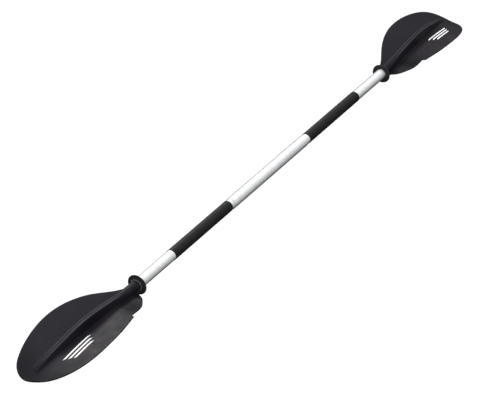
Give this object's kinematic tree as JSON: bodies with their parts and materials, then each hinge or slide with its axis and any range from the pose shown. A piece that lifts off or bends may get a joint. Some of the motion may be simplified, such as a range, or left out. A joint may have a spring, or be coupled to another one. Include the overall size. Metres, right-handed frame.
{
  "type": "kayak paddle",
  "caption": "Take-apart double-bladed kayak paddle: three-piece aluminium shaft, moulded asymmetric blades, hand grips, drip rings and snap-button locks.",
  "frame": {"origin": "centre of the paddle, on the axis of the shaft", "axes": "+X along the shaft towards the right blade, +Y towards the blades' long edge, +Z towards the ribbed backs of the blades, so the power faces look down"},
  "size_m": [2.3, 0.2024, 0.0669],
  "materials": {
    "tube_metal": "bright satin anodised, fine lines around the tube",
    "grip_rubber": "matte, finely ribbed around the tube",
    "ring_rubber": "smooth satin",
    "blade_plastic": "satin moulded, fine grain",
    "rivet_metal": "plain",
    "spring_steel": "bright stainless",
    "plug_plastic": "plain moulded",
    "foam": "closed-cell foam"
  },
  "bodies": {
    "centre": {"centre_tube": "tube_metal", "centre_foam_plug": "foam"},
    "left_section": {"left_end_tube": "tube_metal", "left_grip": "grip_rubber", "left_blade": "blade_plastic", "left_blade_rivets": "rivet_metal", "left_snap_spring": "spring_steel", "left_tube_plug": "plug_plastic"},
    "right_section": {"right_end_tube": "tube_metal", "right_grip": "grip_rubber", "right_blade": "blade_plastic", "right_blade_rivets": "rivet_metal", "right_snap_spring": "spring_steel", "right_tube_plug": "plug_plastic"},
    "left_ring": {"left_drip_ring": "ring_rubber"},
    "right_ring": {"right_drip_ring": "ring_rubber"},
    "left_button": {"left_snap_button": "spring_steel"},
    "right_button": {"right_snap_button": "spring_steel"}
  },
  "joints": [
    {"name": "left_pull_apart", "type": "slide", "parent": "centre", "child": "left_section", "axis": [-1, 0, 0], "range_m": [0, 0.1], "deforming": ["left_snap_button"]},
    {"name": "right_feather", "type": "hinge", "parent": "centre", "child": "right_section", "pos_m": [0, 0, 0], "axis": [1, 0, 0], "range_deg": [-60, 60], "deforming": ["right_snap_button"]},
    {"name": "left_ring_slide", "type": "slide", "parent": "left_section", "child": "left_ring", "axis": [1, 0, 0], "range_m": [0, 0.155]},
    {"name": "right_ring_slide", "type": "slide", "parent": "right_section", "child": "right_ring", "axis": [-1, 0, 0], "range_m": [0, 0.155]},
    {"name": "left_button_press", "type": "slide", "parent": "left_section", "child": "left_button", "axis": [0, 0, 1], "range_m": [0, 0.0036], "stiffness_N_per_m": 2000, "deforming": ["left_snap_spring"]},
    {"name": "right_button_press", "type": "slide", "parent": "right_section", "child": "right_button", "axis": [0, 0, 1], "range_m": [0, 0.0036], "stiffness_N_per_m": 2000, "deforming": ["right_snap_spring"]}
  ]
}
